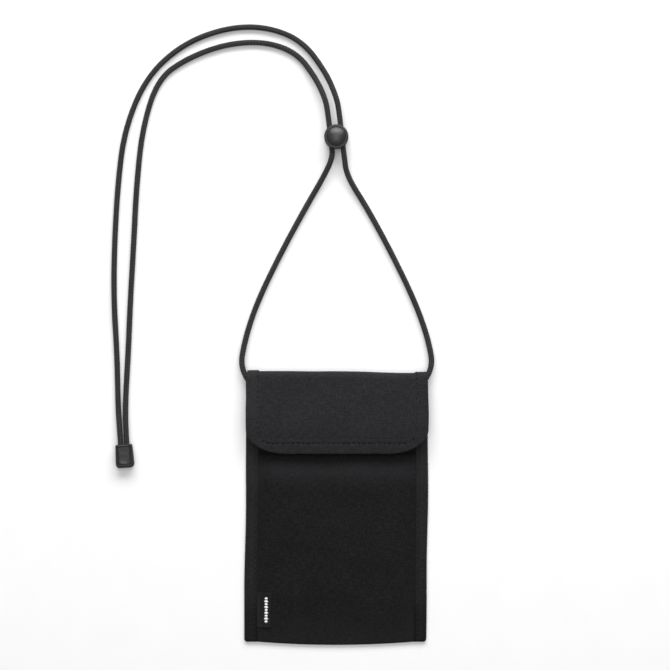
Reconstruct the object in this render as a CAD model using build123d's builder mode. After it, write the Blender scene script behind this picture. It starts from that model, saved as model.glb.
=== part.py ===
from build123d import *
import math
import os

# A neck pouch for a passport, lying on its back with its neck cord laid out beyond its top.
# X runs across the pouch, Y towards the neck, Z out of its front. Millimetres.
# The origin is under the middle of the pouch, on the surface that it lies on.

# Pouch
pouch_width = 130.0
pouch_height = 194.8
bottom_bulge = 2.3  # how far the bottom fold hangs below the ends of the side bindings
panel_cloth = 0.8
pocket_cloth = 0.5
lining_cloth = 0.4
tape_cloth = 0.4
tape_edge = 0.6  # binding outside the raw edge of the panels
binding_width = 9.4
compartment_room = 5.0
crown_run = 8.6  # width of the slope that lifts the front off the side seams
crown_round = 8.0
mouth_setback = 12.3  # from the centre of the top fold down to the mouth
pocket_depth = 115.0
hem_width = 8.0

# Flap and its hook-and-loop closure
flap_drop = 58.1
flap_corner = 22.0
patch_width = 60.0
patch_length = 18.0
patch_corner = 2.0
patch_thickness = 0.8
patch_gap = 0.3
patch_setback = 16.0  # from the flap's lower edge up to the middle of the patch
fold_inset = 2.0  # the fold is pinched in at its ends, beside the cord

# Woven label in the left side seam
label_reach = 9.5
label_length = 24.5
label_rise = 12.6  # above the lowest point of the bottom fold
label_cloth = 0.8

# Neck cord and its sewn tabs
cord_diameter = 4.0
run_share = 0.45  # share of a run that the arc at its end may take
tab_inset = 5.8  # from the pouch's side to the point where the strand leaves its tab
tab_rise = 6.8  # from the mouth up to that point
tab_angle = 46.0  # degrees, of the strand from Y
tab_width = 8.0
tab_length = 7.0
tab_height = 5.0
tab_corner = 1.2

# Cord lock: a barrel on end with two cross holes, a domed plunger and a conical spring
lock_x = 0.0
lock_y = 263.7
lock_tilt = 6.4  # degrees, of the two strands from Y
strand_offset = 4.0  # from the lock's centre to each strand
barrel_radius = 8.6
barrel_bore = 6.8
barrel_floor = 1.0
barrel_height = 12.2
barrel_rim = 0.9
hole_clearance = 0.2
strand_z = 7.0
plunger_gap = 0.3
plunger_disc = 1.0
plunger_travel = 2.0
dome_side = 1.4
dome_rise = 2.3
spring_wire = 0.5
spring_turns = 2.5
spring_cone = 28.0  # degrees
spring_seat = 0.05

# Cord end: a bell-shaped shell with a snap lid on its wide end, round the knotted strands
end_x = -150.4
end_y = 36.9
end_turn = 4.0  # degrees
end_length = 16.5
end_top_width = 11.9
end_bottom_width = 13.3
end_thickness = 7.5
end_corner = 3.0
end_top_corner = 0.8
end_edge = 0.8
end_floor = 1.4
end_wall = 1.6
end_spacing = 4.75  # between the two strands
end_strand_z = 3.75
end_cavity_low = -3.8
end_knot_top = 3.6
knot_gap = 0.2
knot_round = 1.5
lid_thickness = 1.4
lid_gap = 0.15
lid_top_width = 10.2
lid_bottom_width = 8.4
lid_edge = 0.35
lid_pivot_y = -5.0
trunnion_radius = 0.5
trunnion_clearance = 0.05
trunnion_reach = 1.1

# Routes of the two strands, from the pouch through the lock to the cord end
right_route = [
    (59.2, 86.8, 4.8),
    (69.7, 96.94, 4.8),
    (66.4, 119.5, 2.0),
    (56.5, 146.5, 2.0),
    (38.7, 182.5, 2.0),
    (21.5, 214.0, 2.0),
    (8.5, 236.0, 4.2),
    (5.48, 250.73, 7.0),
    (0.9, 291.57, 7.0),
    (-7.0, 310.5, 4.5),
    (-24.5, 332.5, 2.0),
    (-50.0, 342.3, 2.0),
    (-78.0, 341.5, 2.0),
    (-109.0, 330.0, 2.0),
    (-135.0, 306.5, 2.0),
    (-150.0, 269.0, 2.0),
    (-155.5, 228.0, 2.0),
    (-157.8, 184.0, 2.0),
    (-158.2, 148.0, 2.0),
    (-155.8, 108.0, 2.0),
    (-155.2, 74.0, 2.0),
    (-154.04, 54.94, 3.75),
    (-153.02, 40.33, 3.75),
]
left_route = [
    (-59.2, 86.8, 4.8),
    (-69.7, 96.94, 4.8),
    (-65.6, 120.5, 2.0),
    (-56.0, 147.0, 2.0),
    (-38.5, 183.0, 2.0),
    (-21.0, 215.0, 2.0),
    (-6.9, 238.0, 4.2),
    (-2.47, 249.84, 7.0),
    (-7.05, 290.68, 7.0),
    (-14.5, 306.5, 4.4),
    (-28.0, 323.5, 2.0),
    (-50.0, 331.5, 2.0),
    (-77.0, 330.2, 2.0),
    (-104.5, 320.5, 2.0),
    (-126.5, 305.5, 2.0),
    (-137.0, 270.0, 2.0),
    (-142.0, 229.0, 2.0),
    (-144.0, 188.0, 2.0),
    (-146.3, 149.0, 2.0),
    (-147.9, 110.0, 2.0),
    (-149.9, 76.0, 2.0),
    (-149.3, 55.27, 3.75),
    (-148.28, 40.66, 3.75),
]

# Levels of the layers above the table
pocket_z = panel_cloth
flange_z = pocket_z + pocket_cloth
tape_z = flange_z + panel_cloth
binding_top = tape_z + tape_cloth
crown_top = tape_z + compartment_room
loop_top = crown_top + patch_thickness
hook_z = loop_top + patch_gap
lining_z = hook_z + patch_thickness
flap_z = lining_z + lining_cloth
flap_top = flap_z + panel_cloth

# Places in the plane of the table
fold_radius = flap_top / 2
fold_y = pouch_height / 2 - fold_radius
fold_half = pouch_width / 2 - fold_inset
bottom_y = -pouch_height / 2
side_low_y = bottom_y + bottom_bulge
flap_low_y = pouch_height / 2 - flap_drop
mouth_y = fold_y - mouth_setback
pocket_y = bottom_y + pocket_depth
patch_y = flap_low_y + patch_setback
seam_x = pouch_width / 2 - tape_edge
inner_x = pouch_width / 2 - binding_width
crown_x = inner_x - crown_run
crown_low_y = side_low_y + crown_run

os.makedirs("parts", exist_ok=True)


def panel_face(top_y):
    """A panel that reaches into both side bindings and bulges between their lower ends."""
    with BuildLine() as outline:
        Polyline(
            (-inner_x, side_low_y),
            (-seam_x, side_low_y),
            (-seam_x, top_y),
            (seam_x, top_y),
            (seam_x, side_low_y),
            (inner_x, side_low_y),
        )
        ThreePointArc((inner_x, side_low_y), (0, bottom_y), (-inner_x, side_low_y))
    make_face(outline.edges())


def crown(base_z, mode):
    """The raised middle of the front: a low pyramid on base_z that runs on past the mouth."""
    with BuildSketch(Plane.XY.offset(base_z)) as foot:
        with Locations((0, side_low_y)):
            Rectangle(2 * inner_x, pouch_height, align=(Align.CENTER, Align.MIN))
    with BuildSketch(Plane.XY.offset(base_z + compartment_room)) as top:
        with Locations((0, crown_low_y)):
            Rectangle(2 * crown_x, pouch_height, align=(Align.CENTER, Align.MIN))
    loft(sections=[foot.sketch, top.sketch], mode=mode)


def crown_band(low_x, high_x, thickness):
    """Section of a strip on the front, over its slopes and its level top."""
    slope = compartment_room / crown_run

    def surface_z(x):
        return min(crown_top, tape_z + slope * (inner_x - abs(x)))

    stations = [low_x] + [x for x in (-crown_x, crown_x) if low_x < x < high_x] + [high_x]
    under = [(x, surface_z(x)) for x in stations]
    over = [(x, z + thickness) for x, z in reversed(under)]
    with BuildLine() as outline:
        Polyline(*under, *over, close=True)
    make_face(outline.edges())


def flap_face(inset):
    """The flap's outline, from the fold to its rounded lower corners, moved in by inset."""
    half_width = pouch_width / 2 - inset
    low_y = flap_low_y + inset
    with BuildLine() as outline:
        FilletPolyline(
            (half_width, fold_y),
            (half_width, low_y),
            (-half_width, low_y),
            (-half_width, fold_y),
            radius=flap_corner - inset,
        )
        Line((-half_width, fold_y), (half_width, fold_y))
    make_face(outline.edges())


def patch_face():
    """One half of the closure, under the middle of the flap."""
    with Locations((0, patch_y)):
        RectangleRounded(patch_width, patch_length, patch_corner)


# Back panel, thinned where the binding's lower leg is pressed into it
with BuildPart() as back_panel:
    with BuildSketch():
        panel_face(fold_y)
    extrude(amount=panel_cloth)
    with BuildSketch():
        with Locations((inner_x + binding_width / 2, 0), (-inner_x - binding_width / 2, 0)):
            Rectangle(binding_width, pouch_height)
    extrude(amount=tape_cloth, mode=Mode.SUBTRACT)
back_panel.part.label = "back_panel"
export_step(back_panel.part, "parts/back_panel.step")

# Slip pocket for cards against the back panel
with BuildPart() as slip_pocket:
    with BuildSketch(Plane.XY.offset(pocket_z)):
        panel_face(pocket_y)
    extrude(amount=pocket_cloth)
slip_pocket.part.label = "slip_pocket"
export_step(slip_pocket.part, "parts/slip_pocket.step")

# Front panel: its flange lies in the side seams, its crown makes room for the passport
with BuildPart() as front_panel:
    with BuildSketch(Plane.XY.offset(flange_z)):
        panel_face(mouth_y)
    extrude(amount=panel_cloth)
    crown(tape_z, Mode.ADD)
    top_edges = front_panel.edges().filter_by_position(Axis.Z, crown_top, crown_top)
    fillet(top_edges.sort_by(Axis.Y)[:-1], radius=crown_round)
    crown(flange_z, Mode.SUBTRACT)
    with BuildSketch():
        with Locations((0, mouth_y)):
            Rectangle(pouch_width, pouch_height, align=(Align.CENTER, Align.MIN))
    extrude(amount=flap_top, mode=Mode.SUBTRACT)
front_panel.part.label = "front_panel"
export_step(front_panel.part, "parts/front_panel.step")

# Turned hem along the mouth
with BuildPart() as mouth_hem:
    with BuildSketch(Plane.XZ.offset(-mouth_y)):
        crown_band(-inner_x, inner_x, tape_cloth)
    extrude(amount=hem_width)
mouth_hem.part.label = "mouth_hem"
export_step(mouth_hem.part, "parts/mouth_hem.step")

# Side bindings: folded tapes that grip all the layers of each side seam
for side, hand in ((-1, "left"), (1, "right")):
    with BuildPart() as side_binding:
        with BuildSketch(Plane.XZ.offset(-fold_y)):
            with Locations((side * (pouch_width - binding_width) / 2, binding_top / 2)):
                Rectangle(binding_width, binding_top)
            with Locations((side * (inner_x + seam_x) / 2, (tape_cloth + tape_z) / 2)):
                Rectangle(seam_x - inner_x, tape_z - tape_cloth, mode=Mode.SUBTRACT)
        extrude(amount=fold_y - side_low_y)
    side_binding.part.label = f"side_binding_{hand}"
    export_step(side_binding.part, f"parts/side_binding_{hand}.step")

# Woven label, its end caught against the left binding
with BuildPart() as woven_label:
    with BuildSketch(Plane.XZ.offset(-(bottom_y + label_rise + label_length))):
        crown_band(-inner_x, -inner_x + label_reach, label_cloth)
    extrude(amount=label_length)
woven_label.part.label = "woven_label"
export_step(woven_label.part, "parts/woven_label.step")

# Soft loops on the pouch and stiff hooks on the flap
for name, level in (("loop_patch", crown_top), ("hook_patch", hook_z)):
    with BuildPart() as patch:
        with BuildSketch(Plane.XY.offset(level)):
            patch_face()
        extrude(amount=patch_thickness)
    patch.part.label = name
    export_step(patch.part, f"parts/{name}.step")

# Flap: outer cloth, thinned under the binding's upper leg
with BuildPart() as flap_panel:
    with BuildSketch(Plane.XY.offset(flap_z)):
        flap_face(tape_edge)
    extrude(amount=panel_cloth - tape_cloth)
    with BuildSketch(Plane.XY.offset(flap_z)):
        flap_face(binding_width)
    extrude(amount=panel_cloth)
flap_panel.part.label = "flap_panel"
export_step(flap_panel.part, "parts/flap_panel.step")

with BuildPart() as flap_lining:
    with BuildSketch(Plane.XY.offset(lining_z)):
        flap_face(binding_width)
    extrude(amount=lining_cloth)
flap_lining.part.label = "flap_lining"
export_step(flap_lining.part, "parts/flap_lining.step")

with BuildPart() as flap_binding:
    with BuildSketch(Plane.XY.offset(lining_z)):
        flap_face(0)
    extrude(amount=flap_top - lining_z)
    with BuildSketch(Plane.XY.offset(lining_z)):
        flap_face(binding_width)
    extrude(amount=flap_top - lining_z, mode=Mode.SUBTRACT)
    with BuildSketch(Plane.XY.offset(flap_z)):
        flap_face(tape_edge)
    extrude(amount=panel_cloth - tape_cloth, mode=Mode.SUBTRACT)
flap_binding.part.label = "flap_binding"
export_step(flap_binding.part, "parts/flap_binding.step")

# The cloth of the top fold, which bends as the flap opens
with BuildPart() as fold_strip:
    with BuildSketch(Plane.YZ.offset(-fold_half)):
        with Locations((fold_y, fold_radius)):
            Circle(fold_radius)
            Circle(fold_radius - panel_cloth, mode=Mode.SUBTRACT)
            Rectangle(
                fold_radius,
                2 * fold_radius,
                align=(Align.MAX, Align.CENTER),
                mode=Mode.SUBTRACT,
            )
    extrude(amount=2 * fold_half)
fold_strip.part.label = "fold_strip"
export_step(fold_strip.part, "parts/fold_strip.step")


def corner_radii(points):
    """Radius of the arc at each corner of a route, as large as its two runs allow."""
    radii = []
    for before, corner, after in zip(points, points[1:], points[2:]):
        arriving = Vector(corner) - Vector(before)
        leaving = Vector(after) - Vector(corner)
        half_turn = math.radians(arriving.get_angle(leaving)) / 2
        reach = run_share * min(arriving.length, leaving.length)
        radii.append(reach / math.tan(half_turn))
    return radii


# Neck cord: one strand a side, and the canvas tab that each is sewn into
for side, hand, points in ((1, "right", right_route), (-1, "left", left_route)):
    radii = corner_radii(points)
    away = Vector(points[1]) - Vector(points[0])
    with BuildPart() as neck_cord:
        with BuildLine() as route:
            FilletPolyline(*points, radius=radii)
        with BuildSketch(Plane(origin=points[0], z_dir=away)):
            Circle(cord_diameter / 2)
        sweep(path=route.wires()[0])
    neck_cord.part.label = f"neck_cord_{hand}"
    export_step(neck_cord.part, f"parts/neck_cord_{hand}.step")
    length = route.wires()[0].length
    section = math.pi * cord_diameter**2 / 4
    print(hand, "radii", [round(radius, 1) for radius in radii])
    print(hand, "length", round(length, 1), "volume", round(neck_cord.part.volume, 1))
    print(hand, "section times length", round(section * length, 1))

    lean = math.radians(tab_angle)
    tab_plane = Plane(
        origin=(side * (pouch_width / 2 - tab_inset), mouth_y + tab_rise, binding_top),
        x_dir=(side * math.sin(lean), math.cos(lean), 0),
        z_dir=(0, 0, 1),
    )
    with BuildPart() as cord_tab:
        with BuildSketch(tab_plane):
            Rectangle(tab_length, tab_width, align=(Align.MAX, Align.CENTER))
        extrude(amount=tab_height)
        fillet(cord_tab.edges().group_by(Axis.Z)[-1], radius=tab_corner)
    cord_tab.part.label = f"cord_tab_{hand}"
    export_step(cord_tab.part, f"parts/cord_tab_{hand}.step")

# Cord lock. Its own X is across the strands, its own Y along them.
tilt = math.radians(lock_tilt)
across = (math.cos(tilt), math.sin(tilt), 0)
along = (-math.sin(tilt), math.cos(tilt), 0)
lock_floor = Plane(origin=(lock_x, lock_y, 0), x_dir=across, z_dir=(0, 0, 1))
lock_cross = Plane(origin=(lock_x, lock_y, strand_z), x_dir=across, z_dir=along)
lock_half = Plane(
    origin=(lock_x, lock_y, 0),
    x_dir=across,
    z_dir=(math.sin(tilt), -math.cos(tilt), 0),
)
lock_axis = Axis((lock_x, lock_y, 0), (0, 0, 1))
cord_radius = cord_diameter / 2
hole_radius = cord_radius + hole_clearance
plunger_radius = barrel_bore - plunger_gap
disc_top = strand_z - hole_radius
disc_z = disc_top - plunger_disc
head_z = strand_z + hole_radius + plunger_travel
dome_z = head_z + dome_side
web_half = strand_offset - hole_radius

with BuildPart() as lock_barrel:
    with BuildSketch(lock_floor):
        Circle(barrel_radius)
    extrude(amount=barrel_height)
    fillet(lock_barrel.edges().group_by(Axis.Z)[-1], radius=barrel_rim)
    chamfer(lock_barrel.edges().group_by(Axis.Z)[0], length=barrel_rim / 2)
    with BuildSketch(lock_floor.offset(barrel_floor)):
        Circle(barrel_bore)
    extrude(amount=barrel_height, mode=Mode.SUBTRACT)
    with BuildSketch(lock_cross):
        with Locations((-strand_offset, 0), (strand_offset, 0)):
            Circle(hole_radius)
    extrude(amount=barrel_radius, both=True, mode=Mode.SUBTRACT)
lock_barrel.part.label = "lock_barrel"
export_step(lock_barrel.part, "parts/lock_barrel.step")

with BuildPart() as lock_plunger:
    with BuildSketch(lock_floor.offset(disc_z)):
        Circle(plunger_radius)
    extrude(amount=plunger_disc)
    with BuildSketch(lock_floor.offset(disc_top)):
        Circle(plunger_radius)
        Rectangle(2 * web_half, 2 * plunger_radius, mode=Mode.INTERSECT)
    extrude(amount=head_z - disc_top)
    with BuildSketch(lock_half):
        with BuildLine():
            Polyline(
                (0, dome_z + dome_rise),
                (0, head_z),
                (plunger_radius, head_z),
                (plunger_radius, dome_z),
            )
            RadiusArc(
                (plunger_radius, dome_z),
                (0, dome_z + dome_rise),
                -(plunger_radius**2 + dome_rise**2) / (2 * dome_rise),
            )
        make_face()
    revolve(axis=lock_axis)
lock_plunger.part.label = "lock_plunger"
export_step(lock_plunger.part, "parts/lock_plunger.step")

# Conical spring, wide on the barrel's floor and narrow under the plunger
spring_low = barrel_floor + spring_wire / 2 + spring_seat
spring_high = disc_z - spring_wire / 2 - spring_seat
spring_radius = plunger_radius - spring_wire
with BuildPart() as lock_spring:
    with BuildLine() as coil:
        Helix(
            pitch=(spring_high - spring_low) / spring_turns,
            height=spring_high - spring_low,
            radius=spring_radius,
            center=(lock_x, lock_y, spring_low),
            cone_angle=-spring_cone,
        )
    with BuildSketch(Plane(origin=coil.wires()[0] @ 0, z_dir=coil.wires()[0] % 0)):
        Circle(spring_wire / 2)
    sweep(path=coil.wires()[0], is_frenet=True)
lock_spring.part.label = "lock_spring"
export_step(lock_spring.part, "parts/lock_spring.step")

# Cord end. Its own Y runs from the wide end, where the lid is hinged, to the strands.
turn = math.radians(end_turn)
end_across = (math.cos(turn), math.sin(turn), 0)
end_along = (-math.sin(turn), math.cos(turn), 0)
end_floor_plane = Plane(origin=(end_x, end_y, 0), x_dir=end_across, z_dir=(0, 0, 1))
lid_z = end_thickness - lid_thickness
pivot_z = end_thickness - lid_thickness / 2
knuckle_radius = lid_thickness / 2
end_half = end_length / 2
slot_half = end_spacing / 2 + hole_radius


def bell_face(low_y, high_y, low_width, high_width):
    """A face that tapers from the wide end to the strands."""
    with BuildLine() as outline:
        Polyline(
            (-low_width / 2, low_y),
            (low_width / 2, low_y),
            (high_width / 2, high_y),
            (-high_width / 2, high_y),
            close=True,
        )
    make_face(outline.edges())


def cross_plane(x, y, z):
    """A plane square to the lid's hinge, at a point of the cord end's own frame."""
    return Plane(
        origin=end_floor_plane.from_local_coords(Vector(x, y, z)),
        x_dir=end_along,
        z_dir=end_across,
    )


with BuildPart() as cord_end_shell:
    with BuildSketch(end_floor_plane) as outline:
        bell_face(-end_half, end_half, end_bottom_width, end_top_width)
        fillet(outline.vertices().group_by(Axis.Y)[0], radius=end_corner)
        fillet(outline.vertices().group_by(Axis.Y)[-1], radius=end_top_corner)
    extrude(amount=end_thickness)
    fillet(cord_end_shell.edges().group_by(Axis.Z)[0], radius=end_edge)
    fillet(cord_end_shell.edges().group_by(Axis.Z)[-1], radius=end_edge)
    # Recess for the lid
    with BuildSketch(end_floor_plane.offset(lid_z - lid_gap)):
        bell_face(
            lid_pivot_y - knuckle_radius - lid_gap,
            end_half,
            lid_bottom_width + 2 * lid_gap,
            lid_top_width + 2 * lid_gap,
        )
    extrude(amount=end_thickness, mode=Mode.SUBTRACT)
    # Cavity for the knot, and the slot that the strands come in through
    with BuildSketch(end_floor_plane.offset(end_floor)):
        with Locations((0, end_cavity_low)):
            Rectangle(
                2 * slot_half,
                end_half - end_wall - end_cavity_low,
                align=(Align.CENTER, Align.MIN),
            )
    extrude(amount=end_thickness, mode=Mode.SUBTRACT)
    with BuildSketch(end_floor_plane.offset(end_strand_z - hole_radius)):
        Rectangle(2 * slot_half, end_length, align=(Align.CENTER, Align.MIN))
    extrude(amount=end_thickness, mode=Mode.SUBTRACT)
    # Sockets for the lid's trunnions
    socket_half = lid_bottom_width / 2 + trunnion_reach + trunnion_clearance
    with BuildSketch(cross_plane(-socket_half, lid_pivot_y, pivot_z)):
        Circle(trunnion_radius + trunnion_clearance)
    extrude(amount=2 * socket_half, mode=Mode.SUBTRACT)
cord_end_shell.part.label = "cord_end_shell"
export_step(cord_end_shell.part, "parts/cord_end_shell.step")

with BuildPart() as cord_end_lid:
    with BuildSketch(end_floor_plane.offset(lid_z)):
        bell_face(lid_pivot_y, end_half, lid_bottom_width, lid_top_width)
    extrude(amount=lid_thickness)
    fillet(cord_end_lid.edges().group_by(Axis.Z)[-1].sort_by(Axis.Y)[-1:], radius=lid_edge)
    with BuildSketch(cross_plane(-lid_bottom_width / 2, lid_pivot_y, pivot_z)):
        Circle(knuckle_radius)
    extrude(amount=lid_bottom_width)
    trunnion_half = lid_bottom_width / 2 + trunnion_reach
    with BuildSketch(cross_plane(-trunnion_half, lid_pivot_y, pivot_z)):
        Circle(trunnion_radius)
    extrude(amount=2 * trunnion_half)
cord_end_lid.part.label = "cord_end_lid"
export_step(cord_end_lid.part, "parts/cord_end_lid.step")

# Both strands knotted together inside the cord end
with BuildPart() as cord_end_knot:
    with BuildSketch(end_floor_plane.offset(end_floor + knot_gap)):
        with Locations((0, end_cavity_low + knot_gap)):
            Rectangle(
                2 * (slot_half - knot_gap),
                end_knot_top - end_cavity_low - knot_gap,
                align=(Align.CENTER, Align.MIN),
            )
    extrude(amount=lid_z - lid_gap - end_floor - 2 * knot_gap)
    fillet(cord_end_knot.edges().group_by(Axis.Z)[1], radius=knot_round)
cord_end_knot.part.label = "cord_end_knot"
export_step(cord_end_knot.part, "parts/cord_end_knot.step")
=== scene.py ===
import math

import bmesh
import bpy
import numpy as np
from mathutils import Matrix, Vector


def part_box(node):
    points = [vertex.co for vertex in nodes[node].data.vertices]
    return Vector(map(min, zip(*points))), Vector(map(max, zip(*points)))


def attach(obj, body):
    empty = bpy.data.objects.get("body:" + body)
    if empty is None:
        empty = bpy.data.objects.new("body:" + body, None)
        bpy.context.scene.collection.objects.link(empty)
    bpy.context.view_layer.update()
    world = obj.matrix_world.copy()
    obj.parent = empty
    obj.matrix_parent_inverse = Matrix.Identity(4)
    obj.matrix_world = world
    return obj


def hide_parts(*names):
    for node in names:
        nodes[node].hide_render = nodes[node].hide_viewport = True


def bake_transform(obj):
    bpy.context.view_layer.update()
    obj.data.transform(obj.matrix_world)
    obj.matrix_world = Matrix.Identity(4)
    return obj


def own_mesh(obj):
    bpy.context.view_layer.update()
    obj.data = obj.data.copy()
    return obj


# A neck pouch for a passport: canvas, binding, stitches, braided neck cord, cord lock and cord end,
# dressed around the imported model. Metres, in the model's own frame.

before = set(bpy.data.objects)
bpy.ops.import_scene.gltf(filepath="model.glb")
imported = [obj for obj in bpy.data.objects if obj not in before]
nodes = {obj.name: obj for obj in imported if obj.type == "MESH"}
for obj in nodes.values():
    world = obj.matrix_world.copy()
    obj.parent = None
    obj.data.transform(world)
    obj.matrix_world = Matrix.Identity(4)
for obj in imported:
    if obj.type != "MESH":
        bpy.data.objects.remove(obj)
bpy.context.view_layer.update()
MM = 0.001
X, Y, Z = 0, 1, 2


def low(node, axis):
    """The lowest place of a CAD node along an axis."""
    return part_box(node)[0][axis]


def high(node, axis):
    """The highest place of a CAD node along an axis."""
    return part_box(node)[1][axis]


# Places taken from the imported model
seam_x = low("side_binding_right", X)
edge_x = high("side_binding_right", X)
strip_low_y = low("side_binding_right", Y)
binding_top = high("side_binding_right", Z)
bottom_y = low("back_panel", Y)
mouth_y = high("front_panel", Y)
crown_top = high("front_panel", Z)
fold_y = high("side_binding_right", Y)
fold_radius = high("fold_strip", Y) - fold_y
fold_half = high("fold_strip", X)
flap_low_y = low("flap_binding", Y)
flap_top = high("flap_binding", Z)
flap_under = low("flap_binding", Z)
lining_top = high("flap_lining", Z)
label_low, label_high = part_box("woven_label")

# Cloth and sewing
canvas_gauge = 0.8 * MM
hem_reach = 8.4 * MM
turned_reach = 9.3 * MM
flap_sag = 2.3 * MM
stitch_pitch = 3.6 * MM
stitch_length = 2.9 * MM
thread_gauge = 0.6 * MM
side_seam_x = 58.2 * MM
seam_level = binding_top - 0.35 * MM
hem_setback = 1.6 * MM
weave_pitch = 0.56 * MM
cloth_blue = 0.09

# Front canvas: how far its forms reach and how deep they are
side_slope = 13.0 * MM
foot_slope = 38.0 * MM
slack_depth = 0.75 * MM
crease_depth = 0.12 * MM
pucker_depth = 0.13 * MM
pucker_reach = 3.2 * MM
sag_shut = 5.0 * MM
sag_end = 27.0 * MM

# Side strips
strip_corner = 2.4 * MM
strip_round = 1.9 * MM
strip_lip = 0.35 * MM

# Flap outline
flap_half = 63.8 * MM
flap_swell = 0.6 * MM
flap_shift = 0.65 * MM
flap_slant = 1.25 * MM
corner_across = 28.0 * MM
corner_along = 16.5 * MM
hem_line_x = 56.3 * MM
hem_line_y = flap_low_y + 6.9 * MM
hem_corner = 9.5 * MM
hem_puff = 0.16 * MM
turned_lift = 0.14 * MM
turned_step = 0.2 * MM
stitch_sink = 0.14 * MM

# Neck cord
cord_diameter = 4.0 * MM
cord_sides = 32
cord_step = 0.45 * MM
carriers = 8
braid_pitch = 2.3 * MM
braid_depth = 0.13 * MM

# Label, hook and loop tape, cord tabs
label_gauge = 0.55 * MM
label_free = 7.0 * MM
label_curl = 0.75 * MM
tape_gauge = 0.42 * MM
tape_margin = 2.0 * MM
pile_pitch = 1.35 * MM
sewn_margin = 1.2 * MM
tab_length = 7.0 * MM
tab_width = 8.0 * MM
tab_gauge = 0.5 * MM
tab_seam = 3.3 * MM

# Cord end: its middle, its turn and its widths
end_turn = math.radians(4.0)
end_centre = (-0.1504, 0.0369)
end_half = 8.25 * MM
end_low_width = 13.3 * MM
end_high_width = 11.9 * MM
end_thick = high("cord_end_shell", Z)
lid_low_width = 8.4 * MM
lid_high_width = 10.0 * MM
lid_low_y = -5.7 * MM
lid_under = low("cord_end_lid", Z)
lid_floor = lid_under - 0.15 * MM
bell_corner = 3.0 * MM
bell_mouth = 0.8 * MM
bell_round = 2.2 * MM
bell_fall = 2.0 * MM
recess_corner = 1.2 * MM
well_half = 4.5 * MM
well_low_y = -3.8 * MM
well_floor = 1.5 * MM
lid_corner = 2.4 * MM
scoop_corner = 4.0 * MM
scoop_depth = 1.0 * MM
lip_height = 0.55 * MM

# The two strands' routes, from the pouch through the lock to the cord end
right_route = [
    (0.0592, 0.0868, 0.0048),
    (0.0692, 0.09694, 0.0048),
    (0.0656, 0.1195, 0.002),
    (0.0561, 0.1465, 0.002),
    (0.0387, 0.1825, 0.002),
    (0.0215, 0.214, 0.002),
    (0.0074, 0.236, 0.0042),
    (0.00548, 0.25073, 0.007),
    (0.00453, 0.25918, 0.007),
    (0.00208, 0.28104, 0.007),
    (0.0002, 0.29157, 0.007),
    (-0.0078, 0.3102, 0.0045),
    (-0.0245, 0.3325, 0.002),
    (-0.05, 0.3423, 0.002),
    (-0.078, 0.3415, 0.002),
    (-0.109, 0.33, 0.002),
    (-0.135, 0.3065, 0.002),
    (-0.1506, 0.269, 0.002),
    (-0.1555, 0.228, 0.002),
    (-0.1578, 0.184, 0.002),
    (-0.1582, 0.148, 0.002),
    (-0.1558, 0.108, 0.002),
    (-0.1552, 0.074, 0.002),
    (-0.15385, 0.05494, 0.00375),
    (-0.15276, 0.04033, 0.00375),
]
left_route = [
    (-0.0592, 0.0868, 0.0048),
    (-0.0687, 0.09694, 0.0048),
    (-0.0648, 0.1205, 0.002),
    (-0.056, 0.147, 0.002),
    (-0.0385, 0.183, 0.002),
    (-0.021, 0.215, 0.002),
    (-0.0075, 0.238, 0.0042),
    (-0.00247, 0.24984, 0.007),
    (-0.00342, 0.25829, 0.007),
    (-0.00587, 0.28015, 0.007),
    (-0.0078, 0.29068, 0.007),
    (-0.0151, 0.3063, 0.0044),
    (-0.028, 0.3235, 0.002),
    (-0.05, 0.3315, 0.002),
    (-0.077, 0.3302, 0.002),
    (-0.1045, 0.3205, 0.002),
    (-0.1267, 0.3055, 0.002),
    (-0.1378, 0.27, 0.002),
    (-0.142, 0.229, 0.002),
    (-0.144, 0.188, 0.002),
    (-0.1463, 0.149, 0.002),
    (-0.1479, 0.11, 0.002),
    (-0.1499, 0.076, 0.002),
    (-0.14955, 0.05527, 0.00375),
    (-0.14850, 0.04066, 0.00375),
]


# Finishes


class Field:
    """A number that varies over a surface. Operators on it add Math nodes."""

    def __init__(self, finish, socket):
        self.finish = finish
        self.socket = socket

    def math(self, operation, *values):
        sockets = dict(enumerate(values))
        node = self.finish.add("ShaderNodeMath", {"operation": operation}, sockets)
        return Field(self.finish, node.outputs[0])

    def __add__(self, other):
        return self.math("ADD", self, other)

    __radd__ = __add__

    def __sub__(self, other):
        return self.math("SUBTRACT", self, other)

    def __rsub__(self, other):
        return self.math("SUBTRACT", other, self)

    def __mul__(self, other):
        return self.math("MULTIPLY", self, other)

    __rmul__ = __mul__

    def sine(self):
        return self.math("SINE", self)

    def clamped(self):
        return self.math("MINIMUM", self.math("MAXIMUM", self, 0.0), 1.0)


class NodeTree:
    """A tree to which nodes are added, each with its settings and its sockets."""

    def __init__(self, tree):
        self.tree = tree

    def add(self, kind, settings=None, sockets=None):
        """Sockets take a number or a colour, or a link from a field or a socket."""
        node = self.tree.nodes.new(kind)
        for setting, value in (settings or {}).items():
            setattr(node, setting, value)
        for socket, value in (sockets or {}).items():
            if isinstance(value, Field):
                value = value.socket
            if isinstance(value, bpy.types.NodeSocket):
                self.tree.links.new(value, node.inputs[socket])
            else:
                node.inputs[socket].default_value = value
        return node


def socket_name(word):
    """The shader's own name of a socket, from a plain keyword."""
    return word.replace("_", " ").title().replace("Ior", "IOR")


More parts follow.
